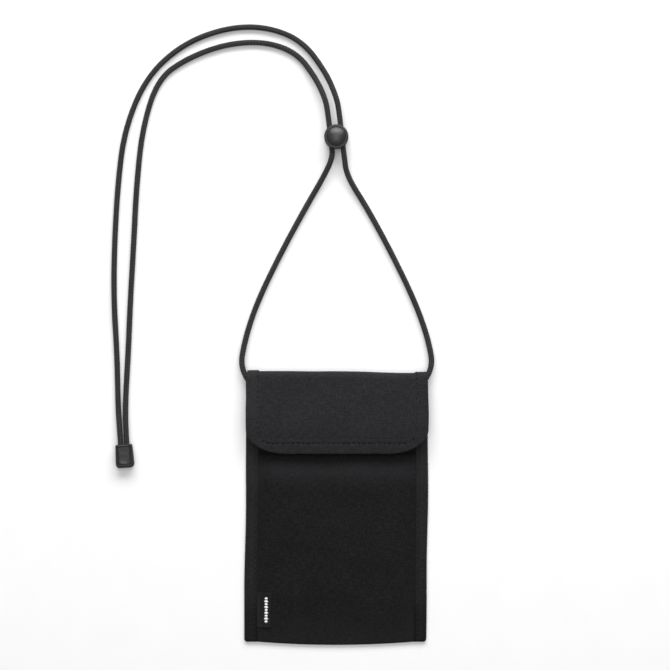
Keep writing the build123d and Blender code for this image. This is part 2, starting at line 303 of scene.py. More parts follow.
class Finish(NodeTree):
    """A material made of nodes around one Principled shader."""

    def __init__(self, name, **constants):
        self.material = bpy.data.materials.new(name)
        self.material.use_nodes = True
        super().__init__(self.material.node_tree)
        self.shader = self.tree.nodes["Principled BSDF"]
        for socket, value in constants.items():
            self.shader.inputs[socket_name(socket)].default_value = value

    def place(self, kind="UV", scale=(1000.0, 1000.0, 1000.0)):
        """The surface's own coordinates times scale: millimetres unless told otherwise."""
        where = self.add("ShaderNodeTexCoord").outputs[kind]
        scaled = self.add("ShaderNodeMapping", {}, {"Vector": where, "Scale": scale})
        return scaled.outputs[0]

    def parts(self, place):
        split = self.add("ShaderNodeSeparateXYZ", {}, {0: place})
        return [Field(self, socket) for socket in split.outputs]

    def noise(self, place, scale, detail=2.0, roughness=0.5):
        sockets = {"Vector": place, "Scale": scale, "Detail": detail, "Roughness": roughness}
        return Field(self, self.add("ShaderNodeTexNoise", {}, sockets).outputs[0])

    def mark(self, name):
        """A value that the piece carries at each of its points, 0 where it has none."""
        return Field(self, self.add("ShaderNodeAttribute", {"attribute_name": name}).outputs[2])

    def mix(self, share, dark, light):
        sockets = {0: share, 6: dark, 7: light}
        return self.add("ShaderNodeMix", {"data_type": "RGBA"}, sockets).outputs[2]

    def paint(self, **links):
        for socket, value in links.items():
            if isinstance(value, Field):
                value = value.socket
            self.tree.links.new(value, self.shader.inputs[socket_name(socket)])

    def bump(self, height, depth):
        sockets = {"Strength": 1.0, "Distance": depth, "Height": height}
        return self.add("ShaderNodeBump", {}, sockets).outputs[0]


def grey(level, blue=0.0):
    """A neutral colour, or one with a little more blue."""
    return (level, level, level * (1 + blue), 1.0)


def canvas_finish(name, level, pitch=weave_pitch, contrast=0.3, sheen=0.08):
    """Plain-woven canvas with slubby threads, read from the cloth's own flat coordinates, with painted
    shade and painted light mixed in by the piece's marks.
    """
    finish = Finish(name, specular_ior_level=0.1, sheen_weight=sheen, sheen_roughness=0.45)
    place = finish.place()
    across, along, _ = finish.parts(place)
    turn = math.pi / (pitch / MM)
    wander = finish.noise(place, 0.35, 1.0) * 0.5
    warp = ((across + wander) * turn).sine()
    weft = ((along + wander) * turn).sine()
    weave = warp * weft * 0.5 + 0.5
    warp_slub = finish.noise(finish.place(scale=(1150.0, 260.0, 1.0)), 1.0, 2.0, 0.6)
    weft_slub = finish.noise(finish.place(scale=(230.0, 1150.0, 1.0)), 1.0, 2.0, 0.6)
    thread = weave * warp_slub + (1.0 - weave) * weft_slub
    slub = warp_slub + weft_slub
    fleck = finish.noise(place, 1.5, 2.0, 0.6)
    cloud = finish.noise(place, 0.04, 3.0, 0.6)
    tone = (thread * 0.8 + slub * 0.9 + fleck * 1.5 + cloud * 0.4 - 2.3) * 1.9 + 0.5
    dark = grey(level * (1 - contrast), cloth_blue)
    light = grey(level * (1 + contrast), cloth_blue)
    colour = finish.mix(tone.clamped(), dark, light)
    # Painted shade darkens the colour where a piece marks it and painted light brightens it; some of
    # these marks are plain darker or paler tone.
    colour = finish.mix(finish.mark("painted_shade_and_tone").clamped(), colour, grey(level * 0.3, cloth_blue))
    colour = finish.mix(finish.mark("painted_light_and_tone").clamped(), colour, grey(level * 2.4, cloth_blue))
    finish.paint(base_color=colour)
    finish.paint(roughness=0.84 + thread * 0.14)
    height = weave * 0.45 + thread * 0.6 + fleck * 0.25
    finish.paint(normal=finish.bump(height, 0.16 * MM))
    return finish.material


def thread_finish(name, level):
    """Twisted sewing thread."""
    finish = Finish(name, specular_ior_level=0.06)
    place = finish.place("Object")
    across, along, _ = finish.parts(place)
    twist = ((across + along) * 14.0).sine() * 0.5 + 0.5
    tone = twist * 0.7 + finish.noise(place, 2.5) * 0.5
    finish.paint(base_color=finish.mix(tone.clamped(), grey(level * 0.5), grey(level * 1.3)))
    finish.paint(roughness=0.5 + twist * 0.3)
    finish.paint(normal=finish.bump(twist, 0.05 * MM))
    return finish.material


def braid_finish(name, level):
    """Braided cord: fine yarns within each carrier, with painted shade in the grooves between them and
    painted sheen on one set of carriers.
    """
    finish = Finish(name, specular_ior_level=0.2, sheen_weight=0.08, sheen_roughness=0.4)
    groove = finish.mark("crest")
    yarn = finish.mark("yarn")
    place = finish.place()
    fibre = (yarn * 26.0).sine() * 0.5 + 0.5
    worn = finish.noise(place, 0.7, 3.0, 0.65)
    cloud = finish.noise(place, 0.06, 2.0)
    sheen_carriers = finish.mark("sheen_carriers")
    # Painted shade: lighter on the crests and darker in the grooves; painted sheen lightens one set of
    # carriers.
    tone = groove * 0.85 + fibre * 0.15 + worn * 0.9 + cloud * 0.3 + sheen_carriers * 0.6 - 1.0
    finish.paint(base_color=finish.mix(tone.clamped(), grey(level * 0.2), grey(level * 1.6)))
    finish.paint(roughness=0.66 + worn * 0.22)
    height = fibre * 0.5 + worn * 0.6
    finish.paint(normal=finish.bump(height, 0.09 * MM))
    return finish.material


def plastic_finish(name, level, roughness, grain=0.03, shine=0.45):
    """Moulded satin plastic with a fine spark-eroded grain and faint handling marks."""
    finish = Finish(name, specular_ior_level=shine)
    place = finish.place("Object")
    spark = finish.noise(place, 4.5, 2.0, 0.6)
    rub = finish.noise(place, 0.35, 4.0, 0.65)
    tone = (rub * 1.4 - 0.2).clamped()
    finish.paint(base_color=finish.mix(tone, grey(level * 0.85), grey(level * 1.2)))
    finish.paint(roughness=(rub - 0.5) * 0.18 + roughness + spark * 0.06)
    finish.paint(normal=finish.bump(spark, grain * MM))
    return finish.material


def spring_finish(name):
    """Drawn spring wire."""
    finish = Finish(name, metallic=1.0)
    place = finish.place("Object")
    drawn = finish.noise(place, 6.0, 2.0)
    finish.paint(base_color=finish.mix(drawn, grey(0.4), grey(0.6)))
    finish.paint(roughness=0.22 + drawn * 0.2)
    finish.paint(normal=finish.bump(drawn, 0.01 * MM))
    return finish.material


def label_finish(name, level):
    """Damask label cloth: fine ribs along the label, with a paler woven selvedge."""
    finish = Finish(name, specular_ior_level=0.15)
    place = finish.place()
    across, along, _ = finish.parts(place)
    rib = (along * 21.0).sine() * 0.5 + 0.5
    yarn = (across * 14.0).sine() * 0.5 + 0.5
    border = finish.mark("border")
    speck = finish.noise(place, 2.2, 2.0)
    tone = rib * 0.15 + yarn * 0.1 + speck * 0.35 + border * 0.28
    dark = grey(level * 0.5, cloth_blue)
    finish.paint(base_color=finish.mix(tone.clamped(), dark, grey(level * 2.2, cloth_blue)))
    finish.paint(roughness=0.5 + speck * 0.25)
    finish.paint(normal=finish.bump(rib + yarn * 0.6, 0.06 * MM))
    return finish.material


def floor_finish(name):
    """Smooth white studio paper."""
    finish = Finish(name, roughness=0.8)
    fibre = finish.noise(finish.place("Object", (40.0, 40.0, 40.0)), 1.0, 2.0)
    finish.paint(base_color=finish.mix(fibre, grey(0.86), grey(0.89)))
    return finish.material


canvas = canvas_finish("canvas", 0.0089, contrast=0.42)
flap_canvas = canvas_finish("flap_canvas", 0.0198)
binding_canvas = canvas_finish("binding_canvas", 0.0138)
lining_cloth = canvas_finish("lining_cloth", 0.008, pitch=0.3 * MM, contrast=0.15, sheen=0.1)
stitch_thread = thread_finish("stitch_thread", 0.004)
seam_thread = thread_finish("seam_thread", 0.026)
braid = braid_finish("braid", 0.0275)
button_plastic = plastic_finish("button_plastic", 0.0115, 0.37, grain=0.06, shine=0.72)
lock_plastic = plastic_finish("lock_plastic", 0.013, 0.46)
end_plastic = plastic_finish("end_plastic", 0.010, 0.5, grain=0.045)
cover_plastic = plastic_finish("cover_plastic", 0.0155, 0.5, grain=0.045)
spring_steel = spring_finish("spring_steel")
label_cloth = label_finish("label_cloth", 0.008)
label_yarn = thread_finish("label_yarn", 0.85)
hook_nylon = plastic_finish("hook_nylon", 0.02, 0.5)
loop_nylon = thread_finish("loop_nylon", 0.02)


# Mesh building


def add_piece(name, points, faces, flat, material, **marks):
    """A smooth mesh object from arrays: its points, faces, flat cloth coordinates and attributes."""
    mesh = bpy.data.meshes.new(name)
    mesh.from_pydata(points.tolist(), [], faces)
    uv = mesh.uv_layers.new(name="flat")
    corner = np.zeros(len(mesh.loops), np.int32)
    mesh.loops.foreach_get("vertex_index", corner)
    uv.data.foreach_set("uv", flat[corner].astype(np.float32).ravel())
    for mark, values in marks.items():
        attribute = mesh.attributes.new(mark, "FLOAT", "POINT")
        attribute.data.foreach_set("value", values.astype(np.float32))
    mesh.polygons.foreach_set("use_smooth", [True] * len(mesh.polygons))
    outward = bmesh.new()
    outward.from_mesh(mesh)
    bmesh.ops.recalc_face_normals(outward, faces=outward.faces)
    outward.to_mesh(mesh)
    outward.free()
    mesh.materials.append(material)
    piece = bpy.data.objects.new(name, mesh)
    bpy.context.scene.collection.objects.link(piece)
    return piece


def dress(piece, body, slot, *stands_for):
    """The piece rides on a body and hides the CAD nodes it stands for; the slot is not used."""
    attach(piece, body)
    if stands_for:
        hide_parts(*stands_for)
    return piece


def places(*parts):
    """Points, or flat coordinates, from their parts, each an array or one number."""
    return np.stack(np.broadcast_arrays(*parts), -1)


def unit(vectors):
    return vectors / np.maximum(np.linalg.norm(vectors, axis=-1, keepdims=True), 1e-12)


def surface_normals(grid):
    """Normals of a grid of points, from the turn of its columns to its rows."""
    down = np.gradient(grid, axis=0)
    across = np.gradient(grid, axis=1)
    return unit(np.cross(across, down))


def rim_loop(index):
    """The numbers of a grid's points once round its rim."""
    return np.concatenate([index[0], index[1:, -1], index[-1, -2::-1], index[-2:0:-1, 0]])


def grid_faces(rows, columns, first=0):
    """The faces between the rows and columns of a grid of points."""
    faces = []
    for row in range(rows - 1):
        for column in range(columns - 1):
            corner = first + row * columns + column
            faces.append((corner, corner + 1, corner + columns + 1, corner + columns))
    return faces


def shell(name, outer, gauge, flat, material, side=1.0, rim_steps=4, **marks):
    """A closed piece of cloth: an outer face, an inner face one gauge below, and a rounded edge."""
    rows, columns = outer.shape[:2]
    normal = surface_normals(outer) * side
    gauge = np.broadcast_to(gauge, (rows, columns))
    inner = outer - normal * gauge[..., None]
    count = rows * columns
    index = np.arange(count).reshape(rows, columns)
    loop = rim_loop(index)
    outer_points = outer.reshape(-1, 3)
    inner_points = inner.reshape(-1, 3)
    tangent = unit(np.roll(outer_points[loop], -1, 0) - np.roll(outer_points[loop], 1, 0))
    away = unit(np.cross(tangent, normal.reshape(-1, 3)[loop]))
    probe = outer_points[loop] - outer_points[loop].mean(0)
    if (away * probe).sum() < 0:
        away = -away
    half = (outer_points[loop] - inner_points[loop]) / 2
    centre = (outer_points[loop] + inner_points[loop]) / 2
    reach = np.linalg.norm(half, axis=1, keepdims=True)
    points = [outer_points, inner_points]
    coordinates = [flat.reshape(-1, 2)] * 2
    rims = [loop]
    for step in range(1, rim_steps):
        angle = math.pi * step / rim_steps
        points.append(centre + half * math.cos(angle) + away * reach * math.sin(angle))
        coordinates.append(flat.reshape(-1, 2)[loop] + reach * angle * 0.5)
        rims.append(2 * count + (step - 1) * len(loop) + np.arange(len(loop)))
    rims.append(loop + count)
    faces = grid_faces(rows, columns)
    faces += [face[::-1] for face in grid_faces(rows, columns, count)]
    for near, far in zip(rims, rims[1:]):
        faces += places(near, far, np.roll(far, -1), np.roll(near, -1)).tolist()
    spread = {}
    for mark, values in marks.items():
        whole = values.reshape(-1)
        spread[mark] = np.concatenate([whole, whole, np.tile(whole[loop], rim_steps - 1)])
    points = np.concatenate(points)
    return add_piece(name, points, faces, np.concatenate(coordinates), material, **spread)


def tube(name, rings, flat, material, **marks):
    """A closed piece from rings of points one after another, with its two ends capped."""
    count, sides = rings.shape[:2]
    index = np.arange(count * sides).reshape(count, sides)
    after = np.roll(index, -1, 1)
    faces = places(index[:-1], after[:-1], after[1:], index[1:]).reshape(-1, 4).tolist()
    faces.append(index[0][::-1].tolist())
    faces.append(index[-1].tolist())
    return add_piece(name, rings.reshape(-1, 3), faces, flat.reshape(-1, 2), material, **marks)


def travel_along(line):
    """How far along a line each of its points is."""
    return np.concatenate([[0], np.cumsum(np.linalg.norm(np.diff(line, axis=0), axis=1))])


def smooth(value, start, end):
    """0 before start, 1 after end, and an even S between them."""
    share = np.clip((value - start) / (end - start), 0.0, 1.0)
    return share * share * (3 - 2 * share)


def ripple(across, along, seed, longest, shortest, waves=9):
    """A soft random swell with no direction of its own, from about -1 to 1."""
    draw = np.random.default_rng(seed)
    total = np.zeros_like(across * 1.0)
    for _ in range(waves):
        heading = draw.uniform(0, math.pi)
        length = draw.uniform(shortest, longest)
        phase = draw.uniform(0, 2 * math.pi)
        run = (across * math.cos(heading) + along * math.sin(heading)) / length
        total += np.sin(2 * math.pi * run + phase)
    return total / math.sqrt(waves) / 1.5


def dip(distance, width):
    """A rounded groove, 1 in its middle."""
    return np.exp(-((distance / width) ** 2))


def cut_size(flat):
    """The width and length that a piece of cloth was cut to, from its flat coordinates."""
    flat = np.array(flat).reshape(-1, 2)
    return tuple(float(extent) for extent in flat.max(0) - flat.min(0))


def body_lean(along):
    """The pouch doesn't lie quite square: how far its cloth is shifted across."""
    foot = 1.0 * MM * smooth(30 * MM - along, 0, 125 * MM)
    head = 0.35 * MM * smooth(along, 40 * MM, 80 * MM)
    return 0.6 * MM - foot - head


def settled(points):
    """Points of the pouch's cloth, moved with its lean."""
    points = np.array(points, float)
    points[..., X] += body_lean(points[..., Y])
    return points


# Front canvas


def bottom_edge(across):
    """The bottom fold hangs lower in the middle than at the side strips."""
    return bottom_y + (strip_low_y - bottom_y) * np.minimum(np.abs(across) / seam_x, 1.0) ** 2


def front_height(across, along):
    """The outer face of the front canvas above the table."""
    sides = smooth(seam_x + 0.4 * MM - np.abs(across), 0.0, side_slope)
    foot = smooth(along - bottom_edge(across), 0.5 * MM, foot_slope)
    slack = slack_depth * ripple(across, along, 3, 90 * MM, 34 * MM) - 0.5 * MM
    slack = slack * smooth(mouth_y - along, 0, 20 * MM)
    crease = crease_depth * ripple(across, along, 8, 24 * MM, 9 * MM)
    rise = (crown_top - seam_level + slack + crease) * sides * foot
    seam = np.abs(np.abs(across) - seam_x)
    pull = np.cos(2 * math.pi * along / stitch_pitch + 0.6 * np.sin(along / (7 * MM)))
    pucker = pucker_depth * pull * np.exp(-seam / pucker_reach)
    below_flap = flap_low_y - along
    sag = flap_sag * smooth(below_flap, -8 * MM, 2 * MM)
    sag = sag * (1 - smooth(below_flap, sag_shut, sag_end))
    return seam_level + rise + pucker * foot - sag * sides


def build_front():
    """The front, from its mouth down and round the soft bottom fold to the back."""
    columns = np.linspace(-seam_x - 3.0 * MM, seam_x + 3.0 * MM, 151)
    edge = bottom_edge(columns)
    radius = seam_level / 2
    turn_y = edge + radius
    grid = []
    flat = []
    for share in np.linspace(0, 1, 150):
        along = mouth_y + (turn_y - mouth_y) * share
        grid.append(places(columns, along, front_height(columns, along)))
        flat.append(places(columns, along))
    for angle in np.linspace(0, math.pi, 9)[1:]:
        height = radius + radius * math.cos(angle)
        grid.append(places(columns, turn_y - radius * math.sin(angle), height))
        flat.append(places(columns, turn_y - radius * angle))
    for step in (1.0 * MM, 2.0 * MM, 3.0 * MM):
        grid.append(places(columns, turn_y + step, 0.0))
        flat.append(places(columns, turn_y - radius * math.pi - step))
    grid = np.array(grid)
    below_flap = flap_low_y - grid[..., Y]
    # Painted shadow just under the flap's edge, a band of painted light a little below it, and a paler
    # tone towards the bottom fold.
    pale = 0.42 * dip(below_flap - 11 * MM, 8 * MM) * smooth(below_flap, 1 * MM, 6 * MM)
    pale = pale + 0.17 * (1 - smooth(grid[..., Y] - bottom_y, 5 * MM, 40 * MM))
    dark = 0.8 * dip(below_flap - 0.4 * MM, 1.7 * MM)
    marks = {"painted_light_and_tone": pale, "painted_shade_and_tone": dark}
    gauge = canvas_gauge * 0.7
    piece = shell("front_canvas", settled(grid), gauge, np.array(flat), canvas, side=-1.0, **marks)
    return dress(piece, "pouch", "canvas", "front_panel"), cut_size(flat)


# Back, top fold and flap, one canvas


def flap_reach(along):
    """Half the flap's width at a place down its length."""
    swell = flap_swell * dip(along - 66 * MM, 16 * MM)
    corner = np.clip((flap_low_y + corner_along - along) / corner_along, 0, 1)
    straight = flap_half + swell
    return straight - corner_across * (1 - np.sqrt(np.maximum(1 - corner**2, 0)))


def flap_inset(across, along):
    """How far inside the flap's edge a place is."""
    return np.minimum(flap_reach(along) - np.abs(across), along - flap_low_y)


def hem_line():
    """The stitch line round the flap, from the fold down one side and up the other."""
    points = []
    for along in np.arange(fold_y, hem_line_y + hem_corner, -1.0 * MM):
        points.append((-hem_line_x, along))
    for angle in np.linspace(0, math.pi / 2, 14):
        across = -hem_line_x + hem_corner * (1 - math.cos(angle))
        points.append((across, hem_line_y + hem_corner * (1 - math.sin(angle))))
    for across in np.arange(-hem_line_x + hem_corner + 1 * MM, 0, 1.0 * MM):
        points.append((across, hem_line_y))
    half = np.array(points)
    whole = np.concatenate([half, half[::-1] * (-1, 1)])
    step = np.arange(len(whole))
    wander = 0.18 * MM * np.sin(step * 0.31) + 0.1 * MM * np.sin(step * 0.83)
    whole[:, 1] += wander * (np.abs(whole[:, 0]) < hem_line_x - hem_corner)
    return whole


def distance_to(line, across, along):
    """How far each point of the plane is from a line of points, and how far along it that is."""
    place = places(across.ravel(), along.ravel())
    far = np.full(len(place), 1e9)
    run = np.zeros(len(place))
    for point, step in zip(line, travel_along(line)):
        gap = np.hypot(*(place - point).T)
        run = np.where(gap < far, step, run)
        far = np.minimum(far, gap)
    return far.reshape(across.shape), run.reshape(across.shape)


def flap_height(across, along):
    """The outer face of the flap above the table, with its stitched hem."""
    far, run = distance_to(hem_line(), across, along)
    outside = (np.abs(across) > hem_line_x) | (along < hem_line_y)
    groove = dip(far, 0.8 * MM) * (0.36 * MM + 0.1 * MM * np.cos(2 * math.pi * run / stitch_pitch))
    puff = np.where(outside, hem_puff * np.sin(np.clip(far / hem_reach, 0, 1) * math.pi), 0)
    inset = flap_inset(across, along)
    puff = puff + turned_lift * (1 - smooth(inset - turned_reach, -0.4 * MM, 0.4 * MM))
    puff = puff - turned_step * dip(inset - turned_reach - 0.5 * MM, 0.5 * MM) * (along > hem_line_y)
    swell = 0.3 * MM * ripple(across, along, 21, 80 * MM, 30 * MM)
    fine = 0.06 * MM * ripple(across, along, 5, 20 * MM, 8 * MM)
    inside = np.where(outside, 0, smooth(far, 1 * MM, 14 * MM))
    free = smooth(fold_y - along, 0, 12 * MM)
    return flap_top - groove + puff + (swell * inside + fine) * free


def fold_rise(across):
    """The side strips pass over the fold and lift its ends."""
    return 0.75 * MM * smooth(np.abs(across), 54.6 * MM, 56.0 * MM)


def flap_settled(points):
    """Points of the back, top fold and flap: the flap lies a touch to the right, its fold slanting."""
    points = np.array(points, float)
    turned = smooth(points[..., Z], 1 * MM, 8 * MM)
    slant = flap_slant * smooth(points[..., X], -10 * MM, 60 * MM)
    slant = slant * smooth(points[..., Y], 60 * MM, 92 * MM)
    points[..., X] += body_lean(points[..., Y]) * (1 - turned) + flap_shift * turned
    points[..., Y] -= slant
    return points


def build_back_and_flap():
    """One canvas, from the bottom of the back up, over the top fold and down the flap."""
    shares = np.linspace(-1, 1, 151)
    back_half = edge_x - 1.2 * MM
    grid = []
    flat = []
    gauge = []
    for share in np.linspace(0, 1, 110):
        half = back_half - (back_half - fold_half) * smooth(share, 0.94, 1.0)
        across = shares * half
        start = bottom_edge(across) + 3.0 * MM
        along = start + (fold_y - start) * share
        tucked = 0.42 * MM * smooth(np.abs(across), seam_x - 0.6 * MM, seam_x + 0.3 * MM)
        tucked = tucked * (1 - smooth(share, 0.965, 1.0))
        swell = 0.05 * MM * (1 + ripple(across, along, 31, 60 * MM, 22 * MM))
        swell = swell * smooth(share, 0, 0.05) * (1 - smooth(share, 0.9, 1.0))
        grid.append(places(across, along, 0.02 * MM + tucked + swell))
        flat.append(places(across, along))
        gauge.append(canvas_gauge - tucked - swell)
    for angle in np.linspace(0, math.pi, 26)[1:-1]:
        half = fold_half + (flap_half - fold_half) * smooth(angle, math.pi * 0.55, math.pi)
        across = shares * half
        wave = 0.1 * MM * np.sin(across / (9 * MM))
        lift = (fold_rise(across) + wave) * math.sin(angle)
        radius = fold_radius + lift
        height = fold_radius - radius * math.cos(angle)
        grid.append(places(across, fold_y + radius * math.sin(angle), height))
        flat.append(places(across, fold_y + fold_radius * angle))
        gauge.append(canvas_gauge + lift * 0.9)
    straight = np.linspace(fold_y, flap_low_y + corner_along, 50)
    bend = np.sin(np.linspace(0, math.pi / 2, 36)[1:])
    flap_rows = np.concatenate([straight, flap_low_y + corner_along - corner_along * bend])
    across = shares[None, :] * flap_reach(flap_rows)[:, None]
    along = np.broadcast_to(flap_rows[:, None], across.shape)
    hem = smooth(flap_inset(across, along), hem_reach, hem_reach + 0.8 * MM)
    grid.extend(places(across, along, flap_height(across, along)))
    flat.extend(places(across, 2 * fold_y + fold_radius * math.pi - along))
    gauge.extend(canvas_gauge + (lining_top - flap_under) * (1 - hem))
    grid = np.array(grid)
    # On the flap's raised face: painted shade darkening it towards its lower edge, and a paler band
    # beside the left hem near the top.
    facing = smooth(grid[..., Z], 3 * MM, 9 * MM)
    pale = 0.13 * smooth(-grid[..., X], hem_line_x - 2 * MM, hem_line_x)
    pale = pale * smooth(grid[..., Y], 55 * MM, 75 * MM)
    dark = 0.24 * (1 - smooth(grid[..., Y], 44 * MM, 70 * MM))
    marks = {"painted_light_and_tone": pale * facing, "painted_shade_and_tone": dark * facing}
    grid = flap_settled(grid)
    name = "flap_and_back_canvas"
    piece = shell(name, grid, np.array(gauge), np.array(flat), flap_canvas, side=-1.0, **marks)
    return piece, cut_size(flat)


def bend_with_flap(piece):
    """The piece's placement is baked into its mesh."""
    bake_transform(piece)


front, front_cut = build_front()
back_and_flap, back_cut = build_back_and_flap()
bend_with_flap(back_and_flap)
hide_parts("back_panel", "fold_strip", "flap_panel", "flap_binding")


def build_lining():
    """The flap's lining, its edge turned in under the hem."""
    inset = hem_reach - 0.6 * MM
    shares = np.linspace(-1, 1, 61)
    rows = np.linspace(fold_y, flap_low_y + inset, 40)
    half = flap_half - inset - 6 * MM * smooth(flap_low_y + inset + 7 * MM - rows, 0, 7 * MM) ** 2
    across = shares[None, :] * half[:, None]
    along = np.broadcast_to(rows[:, None], across.shape)
    height = lining_top - 0.02 * MM - 0.08 * MM * (1 + ripple(across, along, 12, 40 * MM, 15 * MM))
    grid = flap_settled(places(across, along, height))
    flat = places(across, along)
    piece = shell("flap_lining_cloth", grid, 0.3 * MM, flat, lining_cloth, side=-1.0)
    dress(piece, "flap", "lining", "flap_lining")


build_lining()


# Side strips


def strip_edge(along, side):
    """How far out a side strip reaches: the pouch is a touch wider at its bottom on the left."""
    drift = smooth(-along, -0.04, 0.09) * (0.5 if side < 0 else -0.3) * MM
    wave = 0.18 * MM * np.sin(along / (13 * MM) + side)
    return edge_x - 0.3 * MM + drift + wave


def build_strip(side, hand):
    """A strip folded round the pouch's side, with its seam's groove and a rounded low corner."""
    corner_y = strip_low_y + strip_corner
    bend = 1 - np.cos(np.linspace(0, math.pi / 2, 7)[:-1])
    rows = np.concatenate([strip_low_y + strip_corner * bend, np.linspace(corner_y, fold_y, 260)])
    half = binding_top / 2
    rings = []
    flat = []
    for along in rows:
        outer = strip_edge(along, side)
        depth = np.clip((corner_y - along) / strip_corner, 0, 1)
        outer = outer - strip_round * (1 - math.sqrt(max(1 - depth**2, 0)))
        squeeze = math.sqrt(max(1 - (depth * 0.96) ** 2, 0))
        inner = seam_x - 0.15 * MM * math.sin(along / (9 * MM))
        top = np.linspace(inner, outer - half, 20)
        pull = math.cos(2 * math.pi * along / stitch_pitch + 0.8 * math.sin(along / (11 * MM)))
        seam = np.abs(top - side_seam_x)
        groove = dip(seam, 0.7 * MM) * (0.34 + 0.1 * pull) * MM
        rib = 0.13 * MM * pull * np.exp(-seam / (2.6 * MM)) * (top > side_seam_x)
        crest = 0.22 * MM * dip(top - side_seam_x + 1.9 * MM, 1.0 * MM)
        crest = crest + 0.2 * MM * dip(top - side_seam_x - 2.4 * MM, 1.8 * MM)
        height = binding_top - groove + rib + crest + 0.07 * MM * math.sin(along / (17 * MM))
        lip = smooth(top - inner, -0.2 * MM, 0.6 * MM)
        height = height - strip_lip * (1 - lip)
        turn = np.linspace(math.pi / 2, -math.pi / 2, 10)[1:-1]
        bend_x = outer - half + half * np.cos(turn)
        bend_z = half + half * np.sin(turn)
        under = np.linspace(outer - half, inner, 12)
        across = np.concatenate([top, bend_x, under])
        level = np.concatenate([height, bend_z, 0 * under])
        level = half + (level - half) * squeeze
        rings.append(places(side * across, along, level))
        flat.append(places(travel_along(places(across, level)), along))
    rings = np.array(rings)
    reach = np.abs(rings[..., X])
    # Darker towards the strip's bottom end, painted shade where the strip meets the front and along its
    # seam, painted light over its upper part, and a painted highlight on the ridge beside the seam.
    dark = 0.6 * smooth(-rings[..., Y], 60 * MM, 78 * MM)
    dark = dark + 0.7 * dip(reach - seam_x - 0.4 * MM, 0.6 * MM)
    dark = dark + 0.25 * dip(reach - side_seam_x, 0.6 * MM)
    pale = 0.2 * smooth(rings[..., Y], 5 * MM, 30 * MM)
    pale = pale + 0.08 * dip(reach - side_seam_x - 2 * MM, 1.2 * MM)
    marks = {"painted_light_and_tone": pale.ravel(), "painted_shade_and_tone": dark.ravel()}
    piece = tube(f"side_strip_{hand}", settled(rings), np.array(flat), binding_canvas, **marks)
    return dress(piece, "pouch", "binding", f"side_binding_{hand}")


strips = [build_strip(-1, "left"), build_strip(1, "right")]


# Inside: the mouth's hem, the slip pocket and the closure


def build_mouth_hem():
    """The front's edge turned down at the mouth, puffed above its stitches."""
    hem_y = low("mouth_hem", Y)
    columns = np.linspace(-seam_x - 0.4 * MM, seam_x + 0.4 * MM, 121)
    rows = np.linspace(mouth_y + 0.25 * MM, hem_y, 14)
    across, along = np.meshgrid(columns, rows)
    far = np.abs(along - hem_y - hem_setback)
    puff = 0.12 * MM * smooth(far, 0.4 * MM, 1.6 * MM)
    height = front_height(across, np.minimum(along, mouth_y)) + 0.28 * MM + puff
    grid = settled(places(across, along, height))
    flat = places(across, along)
    piece = shell("mouth_hem_canvas", grid, 0.42 * MM, flat, canvas, side=-1.0)
    return dress(piece, "pouch", "binding", "mouth_hem")


def build_slip_pocket():
    """The thin pocket sewn inside the back, with its own hem."""
    top_y = high("slip_pocket", Y)
    level = high("slip_pocket", Z)
    columns = np.linspace(-seam_x - 2 * MM, seam_x + 2 * MM, 80)
    hem_rows = np.linspace(top_y, top_y - 8 * MM, 10)
    rows = np.concatenate([hem_rows, np.linspace(top_y - 9 * MM, strip_low_y + 2 * MM, 50)])
    across, along = np.meshgrid(columns, rows)
    hem = 0.3 * MM * smooth(along, top_y - 7.5 * MM, top_y - 6.6 * MM)
    sag = 0.15 * MM * ripple(across, along, 44, 60 * MM, 25 * MM)
    height = level + hem + sag * smooth(seam_x - np.abs(across), 0, 10 * MM)
    grid = settled(places(across, along, height))
    flat = places(across, along)
    piece = shell("slip_pocket_cloth", grid, 0.35 * MM + hem, flat, lining_cloth, side=-1.0)
    dress(piece, "pouch", "lining", "slip_pocket")


mouth_hem = build_mouth_hem()
build_slip_pocket()


# Geometry node trees: stitches along a line, and the closure's hooks and loops over a patch


class Growth(NodeTree):
    """A geometry node tree with named inputs."""

    def __init__(self, name, **inputs):
        super().__init__(bpy.data.node_groups.new(name, "GeometryNodeTree"))
        face = self.tree.interface
        face.new_socket("Geometry", in_out="INPUT", socket_type="NodeSocketGeometry")
        for label, value in inputs.items():
            kind = "NodeSocketMaterial" if value is None else "NodeSocketFloat"
            socket = face.new_socket(label.replace("_", " ").title(), in_out="INPUT", socket_type=kind)
            if value is not None:
                socket.default_value = value
        face.new_socket("Geometry", in_out="OUTPUT", socket_type="NodeSocketGeometry")
        self.start = self.tree.nodes.new("NodeGroupInput")
        self.end = self.tree.nodes.new("NodeGroupOutput")

    def given(self, label):
        return self.start.outputs[label]

    def finish(self, geometry, material):
        """The whole tree, ending in real geometry with its material."""
        real = self.add("GeometryNodeRealizeInstances", {}, {0: geometry})
        sockets = {"Geometry": real.outputs[0], "Material": material}
        done = self.add("GeometryNodeSetMaterial", {}, sockets)
        self.tree.links.new(done.outputs[0], self.end.inputs[0])
        return self.tree


